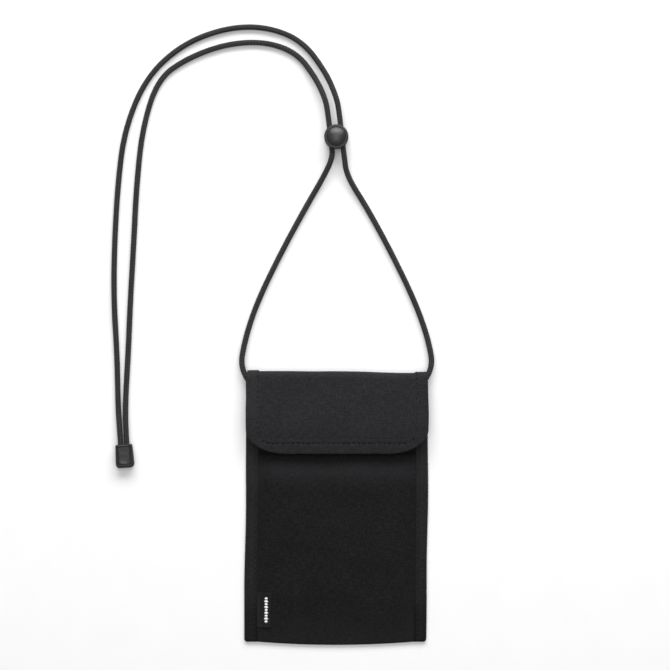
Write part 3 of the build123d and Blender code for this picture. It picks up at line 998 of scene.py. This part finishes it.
def stitch_tree():
    """Thread segments set end to end along every line of the mesh, each dipping in at its ends."""
    sizes = {"pitch": stitch_pitch, "stitch_length": stitch_length, "thread": thread_gauge}
    tree = Growth("stitches", **sizes, slant=0.05, finish=None)
    thread = tree.given("Thread")
    slant = tree.given("Slant")
    line = tree.add("GeometryNodeMeshToCurve", {}, {"Mesh": tree.given("Geometry")})
    spots = tree.add(
        "GeometryNodeCurveToPoints",
        {"mode": "LENGTH"},
        {"Curve": line.outputs[0], "Length": tree.given("Pitch")},
    )
    bead = tree.add("GeometryNodeMeshUVSphere", {}, {"Segments": 8, "Rings": 7, "Radius": 0.5})
    size = tree.add("ShaderNodeCombineXYZ", {}, {0: thread, 1: thread, 2: tree.given("Stitch Length")})
    sized = tree.add("GeometryNodeTransform", {}, {"Geometry": bead.outputs[0], "Scale": size.outputs[0]})
    widest = tree.add("ShaderNodeCombineXYZ", {}, {0: slant, 1: slant, 2: 0.0})
    scaled = {0: widest.outputs[0], "Scale": -1.0}
    least = tree.add("ShaderNodeVectorMath", {"operation": "SCALE"}, scaled)
    lean = tree.add(
        "FunctionNodeRandomValue",
        {"data_type": "FLOAT_VECTOR"},
        {"Min": least.outputs[0], "Max": widest.outputs[0], "Seed": 7},
    )
    turned = tree.add(
        "FunctionNodeRotateRotation",
        {"rotation_space": "LOCAL"},
        {"Rotation": spots.outputs["Rotation"], "Rotate By": lean.outputs[0]},
    )
    tension = tree.add("FunctionNodeRandomValue", {"data_type": "FLOAT"}, {2: 0.7, 3: 1.0, "Seed": 3})
    sockets = {"Points": spots.outputs[0], "Instance": sized.outputs[0], "Rotation": turned.outputs[0]}
    laid = tree.add("GeometryNodeInstanceOnPoints", {}, {**sockets, "Scale": tension.outputs[1]})
    return tree.finish(laid.outputs[0], tree.given("Finish"))


def pile_tree():
    """Small nylon hoops standing on every point of the mesh, each turned its own way."""
    tree = Growth("pile", height=1.0 * MM, wire=0.16 * MM, sweep=4.2, finish=None)
    arc = {"Resolution": 7, "Radius": tree.given("Height")}
    arc.update({"Start Angle": -0.5, "Sweep Angle": tree.given("Sweep")})
    hoop = tree.add("GeometryNodeCurveArc", {"mode": "RADIUS"}, arc)
    circle = {"Resolution": 4, "Radius": tree.given("Wire")}
    wire = tree.add("GeometryNodeCurvePrimitiveCircle", {"mode": "RADIUS"}, circle)
    sweep = {"Curve": hoop.outputs[0], "Profile Curve": wire.outputs[0]}
    bent = tree.add("GeometryNodeCurveToMesh", {}, sweep)
    raised = {"Geometry": bent.outputs[0], "Rotation": (math.pi / 2, 0.0, 0.0)}
    upright = tree.add("GeometryNodeTransform", {}, raised)
    turn = tree.add(
        "FunctionNodeRandomValue",
        {"data_type": "FLOAT_VECTOR"},
        {"Min": (-0.25, -0.25, -3.1), "Max": (0.25, 0.25, 3.1), "Seed": 19},
    )
    stood = tree.add(
        "GeometryNodeInstanceOnPoints",
        {},
        {"Points": tree.given("Geometry"), "Instance": upright.outputs[0], "Rotation": turn.outputs[0]},
    )
    return tree.finish(stood.outputs[0], tree.given("Finish"))


def grown(name, tree, points, edges, **inputs):
    """The plain mesh that a tree makes from points and the edges between them."""
    seed = bpy.data.meshes.new(name + "_line")
    seed.from_pydata([tuple(point) for point in points], edges, [])
    holder = bpy.data.objects.new(name + "_line", seed)
    bpy.context.scene.collection.objects.link(holder)
    modifier = holder.modifiers.new("grow", "NODES")
    modifier.node_group = tree
    for item in tree.interface.items_tree:
        if item.item_type == "SOCKET" and item.in_out == "INPUT" and item.name in inputs:
            modifier[item.identifier] = inputs[item.name]
    bpy.context.view_layer.update()
    depsgraph = bpy.context.evaluated_depsgraph_get()
    mesh = bpy.data.meshes.new_from_object(holder.evaluated_get(depsgraph))
    mesh.name = name
    mesh.polygons.foreach_set("use_smooth", [True] * len(mesh.polygons))
    bpy.data.objects.remove(holder)
    bpy.data.meshes.remove(seed)
    piece = bpy.data.objects.new(name, mesh)
    bpy.context.scene.collection.objects.link(piece)
    return piece


def joined_lines(lines):
    """Several lines of points as one list of points and its edges."""
    points = []
    edges = []
    for line in lines:
        first = len(points)
        points += [tuple(point) for point in line]
        edges += [(first + step, first + step + 1) for step in range(len(line) - 1)]
    return points, edges


stitches = stitch_tree()
pile = pile_tree()


def flap_stitch_lines():
    """Over the fold and round the flap on its face, and round it again on its underside."""
    plan = hem_line()
    down_sides = np.abs(plan[:, 0]) > hem_line_x - 1 * MM
    face = flap_height(plan[:, 0], plan[:, 1]) + np.where(down_sides, -stitch_sink, 0.04 * MM)
    angle = np.linspace(0.25, math.pi, 12)[:-1]
    radius = fold_radius + fold_rise(hem_line_x) * np.sin(angle) - stitch_sink
    rim_y = fold_y + radius * np.sin(angle)
    rim = places(hem_line_x, rim_y, fold_radius - radius * np.cos(angle))
    top = np.column_stack([plan, face])
    under = np.column_stack([plan, 0 * face + flap_under + 0.02 * MM])
    over = np.concatenate([rim * (-1, 1, 1), top, rim[::-1]])
    return [flap_settled(over), flap_settled(under)]


flap_seam = joined_lines(flap_stitch_lines())
flap_sewing = {"Thread": 0.85 * MM, "Stitch Length": 2.1 * MM, "Finish": stitch_thread}
flap_stitches = grown("flap_stitches", stitches, *flap_seam, **flap_sewing)
bend_with_flap(flap_stitches)


def seam_lines():
    """Both side seams, on the front and on the back, and the mouth's hem."""
    lines = []
    along = np.arange(strip_low_y + 3 * MM, fold_y - 1 * MM, 1.2 * MM)
    for side in (-1, 1):
        across = side * side_seam_x + 0.12 * MM * np.sin(along / (8 * MM) + side)
        for level in (binding_top - 0.28 * MM, 0.03 * MM):
            lines.append(places(across, along, level))
    across = np.arange(-seam_x + 2 * MM, seam_x - 2 * MM, 1.2 * MM)
    hem_y = low("mouth_hem", Y) + hem_setback
    lines.append(places(across, hem_y, front_height(across, hem_y) + 0.3 * MM))
    return [settled(line) for line in lines]


side_seams = joined_lines(seam_lines())
seam_sewing = {"Thread": 0.55 * MM, "Finish": seam_thread}
seam_stitches = grown("seam_stitches", stitches, *side_seams, **seam_sewing)
dress(seam_stitches, "pouch", "binding")


def build_patch(node, name, body, upward):
    """A rounded patch of tape with its hooks or loops, sewn on round its edge."""
    (x0, y0, z0), (x1, y1, z1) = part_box(node)
    centre_x = (x0 + x1) / 2
    centre_y = (y0 + y1) / 2
    half_x = (x1 - x0) / 2
    half_y = (y1 - y0) / 2
    across, along = np.meshgrid(np.linspace(-1, 1, 31), np.linspace(-1, 1, 15))
    plan_x = centre_x + half_x * across * (1 - 0.018 * np.abs(along) ** 8)
    plan_y = centre_y + half_y * along * (1 - 0.05 * np.abs(across) ** 12)
    side = 1.0 if upward else -1.0
    base = z0 if upward else z1
    face = base + side * tape_gauge
    gauge = tape_gauge - 0.03 * MM
    grid = places(plan_x, plan_y, face)
    backing = shell(f"{name}_tape", grid, gauge, places(plan_x, plan_y), lining_cloth, side=side)
    dress(backing, body, "hook_and_loop", node)
    margin = half_x - tape_margin
    spots = []
    rows = np.arange(centre_y - half_y + tape_margin, centre_y + half_y - 1.6 * MM, pile_pitch)
    for row, place_y in enumerate(rows):
        shift = 0.6 * MM * (row % 2)
        for place_x in np.arange(centre_x - margin, centre_x + margin, pile_pitch):
            spots.append((place_x + shift, place_y, face - side * 0.02 * MM))
    hoops = {
        "Height": (z1 - z0 - tape_gauge) * 0.55,
        "Wire": 0.07 * MM,
        "Sweep": 4.2 if upward else 3.4,
        "Finish": loop_nylon if upward else hook_nylon,
    }
    nap = grown(f"{name}_pile", pile, spots, [], **hoops)
    dress(nap, body, "hook_and_loop")
    angle = np.linspace(0, 2 * math.pi, 90)
    spread = (np.abs(np.cos(angle)) ** 8 + np.abs(np.sin(angle)) ** 8) ** (-1 / 8)
    border_x = centre_x + (half_x - sewn_margin) * np.cos(angle) * spread
    border_y = centre_y + (half_y - sewn_margin) * np.sin(angle) * spread
    border = joined_lines([places(border_x, border_y, face)])
    sewn = grown(f"{name}_stitches", stitches, *border, Finish=stitch_thread)
    dress(sewn, body, "hook_and_loop")


build_patch("loop_patch", "loop", "pouch", True)
build_patch("hook_patch", "hook", "flap", False)


# Woven label


def label_rest(across, along):
    """Where the label lies: on the front, its free low corner standing up a little."""
    ground = np.maximum(front_height(across, along), binding_top - 0.2 * MM)
    free = smooth(label_low[Y] + label_free - along, 0, label_free)
    return ground + label_curl * free * smooth(across, label_low[X], label_high[X])


def build_label():
    """The label's cloth, caught in the side seam, with a woven border."""
    columns = np.linspace(label_low[X] - 0.6 * MM, label_high[X], 34)
    rows = np.linspace(label_high[Y], label_low[Y], 60)
    across, along = np.meshgrid(columns, rows)
    height = label_rest(across, along) + 0.35 * MM
    inset_x = np.minimum(across - label_low[X], label_high[X] - across)
    inset_y = np.minimum(along - label_low[Y], label_high[Y] - along)
    border = dip(np.minimum(inset_x, inset_y) - 0.7 * MM, 0.45 * MM)
    grid = settled(places(across, along, height))
    flat = places(across, along)
    label = shell("label_cloth", grid, label_gauge, flat, label_cloth, side=-1.0, border=border)
    return dress(label, "pouch", "label", "woven_label"), cut_size(flat)


def build_label_motif():
    """A plain column of woven lozenges, the label's only mark."""
    centre_x = label_low[X] + (label_high[X] - label_low[X]) * 0.64
    tall = 2.05 * MM
    points = []
    faces = []
    flat = []
    centres = np.arange(label_low[Y] + 4.2 * MM, label_high[Y] - 3.0 * MM, tall)
    for number, centre_y in enumerate(centres):
        wide = 1.45 * MM if number % 2 else 1.15 * MM
        half_side = tall * 0.12
        outline = [(0, tall / 2), (wide, half_side), (wide, -half_side)]
        outline += [(0, -tall / 2), (-wide, -half_side), (-wide, half_side)]
        plan = np.array(outline) + (centre_x, centre_y)
        first = len(points)
        for level in (0.33 * MM, 0.47 * MM):
            points.extend(places(*plan.T, label_rest(*plan.T) + level))
            flat.extend(plan)
        for step in range(6):
            after = (step + 1) % 6
            faces.append((first + step, first + after, first + 6 + after, first + 6 + step))
        faces.append(tuple(first + 6 + step for step in range(6)))
        faces.append(tuple(first + step for step in reversed(range(6))))
    motif = add_piece("label_motif", settled(points), faces, np.array(flat), label_yarn)
    return dress(motif, "pouch", "label")


label, label_cut = build_label()
build_label_motif()


# Neck cord


def route_line(name, route):
    """The points down the middle of a strand, read from the smooth curve of its route."""
    curve = bpy.data.curves.new(name, "CURVE")
    curve.dimensions = "3D"
    curve.resolution_u = 60
    spline = curve.splines.new("NURBS")
    spline.points.add(len(route) - 1)
    for point, place in zip(spline.points, route):
        point.co = (*place, 1.0)
    spline.order_u = 3
    spline.use_endpoint_u = True
    holder = bpy.data.objects.new(name, curve)
    mesh = bpy.data.meshes.new_from_object(holder)
    line = np.array([vertex.co for vertex in mesh.vertices], float)
    bpy.data.meshes.remove(mesh)
    bpy.data.objects.remove(holder)
    bpy.data.curves.remove(curve)
    return line


def carried_frames(line):
    """Two directions square to a line at each of its points, carried along it without twist."""
    tangent = unit(np.gradient(line, axis=0))
    first = np.zeros_like(line)
    side = np.cross(tangent[0], (0, 0, 1.0))
    for number, heading in enumerate(tangent):
        side = side - heading * (side @ heading)
        side = side / np.linalg.norm(side)
        first[number] = side
    return first, np.cross(tangent, first)


def rings_round(line, radius, around):
    """Rings of points round a line, one at each of its points."""
    first, second = carried_frames(line)
    ring = first[:, None] * np.cos(around)[:, None] + second[:, None] * np.sin(around)[:, None]
    return line[:, None] + ring * radius


def braided(name, line, diameter):
    """A tube of eight interlaced carriers round a line."""
    travel = travel_along(line)
    run = np.linspace(0, travel[-1], int(travel[-1] / cord_step))
    centre = np.stack([np.interp(run, travel, line[:, axis]) for axis in range(3)], -1)
    around = np.linspace(0, 2 * math.pi, cord_sides, endpoint=False)
    lay = carriers * around / (2 * math.pi)
    one = lay[None, :] + run[:, None] / braid_pitch
    other = lay[None, :] - run[:, None] / braid_pitch
    one_across = np.cos(math.pi * (one % 1 - 0.5))
    other_across = np.cos(math.pi * (other % 1 - 0.5))
    over = 1 - 2 * ((np.floor(one) + np.floor(other)) % 2)
    one_level = one_across**0.6 * (0.55 + 0.45 * over * other_across)
    other_level = other_across**0.6 * (0.55 - 0.45 * over * one_across)
    crest = np.maximum(one_level, other_level)
    yarn = np.where(one_level > other_level, one, other)
    # Painted sheen: where the carriers of one hand lie on top, the cord is marked to be painted lighter.
    sheen_carriers = (one_level > other_level) * 1.0
    slack = 1 + 0.012 * np.sin(run / (17 * MM)) + 0.008 * np.sin(run / (5.3 * MM) + 1)
    radius = (diameter / 2 - braid_depth * (1 - crest)) * slack[:, None]
    rings = rings_round(centre, radius[..., None], around)
    flat = places(around * cord_diameter / 2, run[:, None])
    marks = {"crest": crest.ravel(), "yarn": yarn.ravel(), "sheen_carriers": sheen_carriers.ravel()}
    return tube(name, rings, flat, braid, **marks)


def build_strand(name, node, route):
    """One strand of the neck cord, from its tab to the cord end."""
    line = route_line(name, route)
    strand = braided(name, line, cord_diameter)
    dress(strand, "pouch", "cord", node)


# Lock: the model's own barrel and plunger, and a wound spring
for name, material in (("lock_barrel", lock_plastic), ("lock_plunger", button_plastic)):
    nodes[name].data.materials.clear()
    nodes[name].data.materials.append(material)


def build_spring():
    """The lock's conical spring, which closes up under the plunger."""
    (x0, y0, z0), (x1, y1, z1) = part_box("lock_spring")
    wire = 0.25 * MM
    turns = 2.5
    taper = 0.22
    turn = np.linspace(0, 2 * math.pi * turns, 160)
    rise = turn / turn[-1]
    wide = (x1 - x0) / 2 - wire
    reach = wide * (1 - taper * rise)
    middle = ((x0 + x1) / 2, (y0 + y1) / 2)
    wound_x = middle[0] + reach * np.cos(turn)
    wound_y = middle[1] + reach * np.sin(turn)
    line = places(wound_x, wound_y, z0 + wire + (z1 - z0 - 2 * wire) * rise)
    around = np.linspace(0, 2 * math.pi, 12, endpoint=False)
    flat = places(around, turn[:, None] * wide)
    spring = tube("lock_coil_spring", rings_round(line, wire, around), flat, spring_steel)
    dress(spring, "lock", "spring_steel", "lock_spring")
    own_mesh(spring)
    return spring


def build_knot():
    """The two strands' tails pulled into a tight overhand knot."""
    (x0, y0, z0), (x1, y1, z1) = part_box("cord_end_knot")
    tail = 2.7 * MM
    turn = np.linspace(0.1, 2 * math.pi - 0.1, 400)
    across = (np.sin(turn) + 2 * np.sin(2 * turn)) / 2.74 * ((x1 - x0) - tail) / 2
    along = (np.cos(turn) - 2 * np.cos(2 * turn)) / 3.0 * ((y1 - y0) - tail) / 2
    level = -np.sin(3 * turn) * ((z1 - z0) - tail) / 2
    centre = np.array([(x0 + x1) / 2, (y0 + y1) / 2, (z0 + z1) / 2])
    knot = braided("neck_cord_knot", centre + places(across, along, level), tail)
    return dress(knot, "pouch", "cord", "cord_end_knot")


spring = build_spring()
knot = build_knot()


# Cord end


def end_points(across, along, level):
    """Places given across and along the cord end, in the model's frame."""
    place_x = end_centre[0] + across * math.cos(end_turn) - along * math.sin(end_turn)
    place_y = end_centre[1] + across * math.sin(end_turn) + along * math.cos(end_turn)
    return places(place_x, place_y, level)


def rounded_in(share):
    """How far a rounded corner's edge comes in, 0 at its start to 1 at its end."""
    return 1 - np.sqrt(np.maximum(1 - np.clip(share, 0, 1) ** 2, 0))


def bell_half(along, wide, narrow):
    """Half the width of the cord end, or of its lid, at a place up its length."""
    share = (along + end_half) / (2 * end_half)
    return wide / 2 + (narrow - wide) / 2 * share


def inside_round(across, along, low_y, half, radius):
    """How far inside a panel with rounded lower corners a place is, less than 0 outside it."""
    corner_x = np.abs(across) - (half - radius)
    corner_y = low_y + radius - along
    in_corner = (corner_x > 0) & (corner_y > 0)
    straight = np.minimum(half - np.abs(across), along - low_y)
    return np.where(in_corner, radius - np.hypot(corner_x, corner_y), straight)


def build_end_body():
    """The cord end's bell: rounded edges, a scooped recess for the lid and a well for the knot."""
    shares = np.linspace(-1, 1, 121)
    straight_y = -end_half + bell_corner
    bend = straight_y - bell_corner * np.cos(np.linspace(0, math.pi / 2, 12))
    rows = np.concatenate([bend, np.linspace(straight_y, end_half, 110)[1:]])
    half = bell_half(rows, end_low_width, end_high_width)
    half = half - bell_corner * rounded_in((straight_y - rows) / bell_corner)
    half = half - bell_mouth * rounded_in((rows - end_half + bell_mouth) / bell_mouth)
    across = shares[None, :] * half[:, None]
    along = np.broadcast_to(rows[:, None], across.shape)
    edge = np.minimum(half[:, None] - np.abs(across), end_half - np.abs(along))
    level = end_thick - bell_fall * rounded_in(1 - edge / bell_round)
    level = level - 0.15 * MM * smooth(-along, 3 * MM, 4 * MM)
    lid_half = bell_half(along, lid_low_width, lid_high_width) + 0.1 * MM
    inside = inside_round(across, along, lid_low_y - 0.3 * MM, lid_half, recess_corner)
    floor_level = lid_floor - 0.3 * MM * (along < lid_low_y + 2 * MM)
    wall = 1 - smooth(inside, -0.12 * MM, 0.1 * MM)
    level = np.minimum(level, floor_level + (end_thick - floor_level) * wall)
    well = (np.abs(across) < well_half) & (along > well_low_y)
    level = np.where(well, well_floor, level)
    grid = end_points(across, along, level)
    flat = places(across, along)
    piece = plate("cord_end_body", grid, level - 0.02 * MM, flat, end_plastic)
    return dress(piece, "pouch", "end_plastic", "cord_end_shell")


def build_end_lid():
    """The snap lid: a soft-edged plate with a raised lip over the strands and worn ripples."""
    shares = np.linspace(-1, 1, 71)
    straight_y = lid_low_y + lid_corner
    bend = straight_y - lid_corner * np.cos(np.linspace(0, math.pi / 2, 10))
    rows = np.concatenate([bend, np.linspace(straight_y, end_half - 0.1 * MM, 80)[1:]])
    full = bell_half(rows, lid_low_width, lid_high_width)
    half = full - lid_corner * rounded_in((straight_y - rows) / lid_corner)
    across = shares[None, :] * half[:, None]
    along = np.broadcast_to(rows[:, None], across.shape)
    edge = np.minimum(half[:, None] - np.abs(across), along - lid_low_y)
    scoop = inside_round(across, along, lid_low_y, full[:, None], scoop_corner)
    level = end_thick - 0.1 * MM - 0.15 * MM * rounded_in(1 - edge / (0.3 * MM))
    wide = np.where(along < lid_low_y + 3.2 * MM, 2.4 * MM, 1.0 * MM)
    level = level - scoop_depth * smooth(scoop, 0.3 * MM, wide)
    level = level + lip_height * dip(end_half - 0.7 * MM - along, 0.7 * MM)
    ripples = np.sin((along + 0.12 * across) / (0.75 * MM))
    level = level + 0.08 * MM * ripples * smooth(edge, 1 * MM, 3 * MM)
    grid = end_points(across, along, level)
    flat = places(across, along)
    piece = plate("cord_end_cover", grid, level - lid_under, flat, cover_plastic)
    return dress(piece, "end_lid", "end_plastic", "cord_end_lid")


def plate(name, top, gauge, flat, material):
    """A closed moulded piece from the grid of its top face, with a flat underside."""
    under = top.copy()
    under[..., Z] -= gauge
    rows, columns = top.shape[:2]
    count = rows * columns
    index = np.arange(count).reshape(rows, columns)
    loop = rim_loop(index)
    faces = grid_faces(rows, columns) + [face[::-1] for face in grid_faces(rows, columns, count)]
    after = np.roll(loop, -1)
    faces += places(loop, loop + count, after + count, after).tolist()
    points = np.concatenate([top.reshape(-1, 3), under.reshape(-1, 3)])
    flat = flat.reshape(-1, 2)
    return add_piece(name, points, faces, np.concatenate([flat, flat]), material)


cord_end = [build_end_body(), build_end_lid(), knot]
build_strand("neck_cord_right_strand", "neck_cord_right", right_route)
build_strand("neck_cord_left_strand", "neck_cord_left", left_route)


def build_tab(hand, route):
    """A canvas loop folded over the strand's end and sewn flat on both sides of it."""
    start = np.array(route[0])
    foot = start * (1, 1, 0)
    heading = unit((np.array(route[1]) - start) * (1, 1, 0))
    across_way = np.cross((0, 0, 1), heading)
    hump = cord_diameter / 2 + 0.55 * MM
    stations = np.linspace(-tab_length, 0, 22)
    offsets = np.linspace(-tab_width / 2, tab_width / 2, 41)
    run, off = np.meshgrid(stations, offsets, indexing="ij")
    reach = np.clip(1 - (off / hump) ** 2, 0, None)
    dome = start[Z] - binding_top + hump * np.sqrt(reach) - 0.15 * MM
    pull = np.cos(2 * math.pi * run / (2.4 * MM)) * dip(np.abs(off) - tab_seam, 0.6 * MM)
    flange = 0.55 * MM + 0.1 * MM * pull
    closing = smooth(run, -tab_length, -tab_length + 2.6 * MM)
    grid = foot + run[..., None] * heading + off[..., None] * across_way
    grid[..., Z] = binding_top + np.maximum(flange, dome * closing * (reach > 0))
    name = f"cord_tab_{hand}"
    tab = shell(f"{name}_canvas", grid, tab_gauge, places(off, run), binding_canvas, side=-1.0)
    dress(tab, "pouch", "binding", name)
    steps = np.linspace(-tab_length + 0.6 * MM, -0.5 * MM, 8)[:, None]
    level = np.array((0, 0, binding_top + 0.6 * MM))
    lines = []
    for offset in (-tab_seam, tab_seam):
        lines.append(foot + level + steps * heading + offset * across_way)
    sewing = {"Pitch": 1.9 * MM, "Finish": stitch_thread}
    sewn = grown(f"{name}_stitches", stitches, *joined_lines(lines), **sewing)
    return [tab, dress(sewn, "pouch", "binding")]


tabs = build_tab("left", left_route) + build_tab("right", right_route)


# Studio: white paper floor, a broad soft light over the top edge, and a long lens straight above
floor_half = 2.0
floor_level = -0.0001
view_width = 0.4767
view_centre = (-0.0009, 0.123)
lens = 190.0

corners = [(-1, -1), (1, -1), (1, 1), (-1, 1)]
floor_points = [(x * floor_half, y * floor_half, floor_level) for x, y in corners]
floor_mesh = bpy.data.meshes.new("studio_floor")
floor_mesh.from_pydata(floor_points, [], [(0, 1, 2, 3)])
floor_mesh.materials.append(floor_finish("studio_paper"))
floor = bpy.data.objects.new("studio_floor", floor_mesh)
bpy.context.scene.collection.objects.link(floor)

camera_data = bpy.data.cameras.new("studio_camera")
camera_data.lens = lens
camera = bpy.data.objects.new("studio_camera", camera_data)
camera.location = (*view_centre, view_width * lens / camera_data.sensor_width)
bpy.context.scene.collection.objects.link(camera)
bpy.context.scene.camera = camera


def soft_light(name, place, aim, size, power):
    """A rectangular softbox turned towards a place."""
    data = bpy.data.lights.new(name, "AREA")
    data.shape = "RECTANGLE"
    data.size, data.size_y = size
    data.energy = power
    light = bpy.data.objects.new(name, data)
    light.location = place
    heading = np.array(aim) - np.array(place)
    light.rotation_mode = "QUATERNION"
    light.rotation_quaternion = Vector(heading).to_track_quat("-Z", "Y")
    bpy.context.scene.collection.objects.link(light)


soft_light("key_softbox", (0.08, 1.45, 0.92), (0, 0.1, 0), (2.1, 0.8), 38.0)
soft_light("overhead_softbox", (0.0, -0.1, 2.75), (0, -0.05, 0), (2.8, 2.8), 40.0)
world = bpy.data.worlds.new("studio")
world.use_nodes = True
background = world.node_tree.nodes["Background"]
background.inputs["Color"].default_value = grey(1.0)
background.inputs["Strength"].default_value = 0.22
bpy.context.scene.world = world
bpy.context.scene.view_settings.view_transform = "Standard"
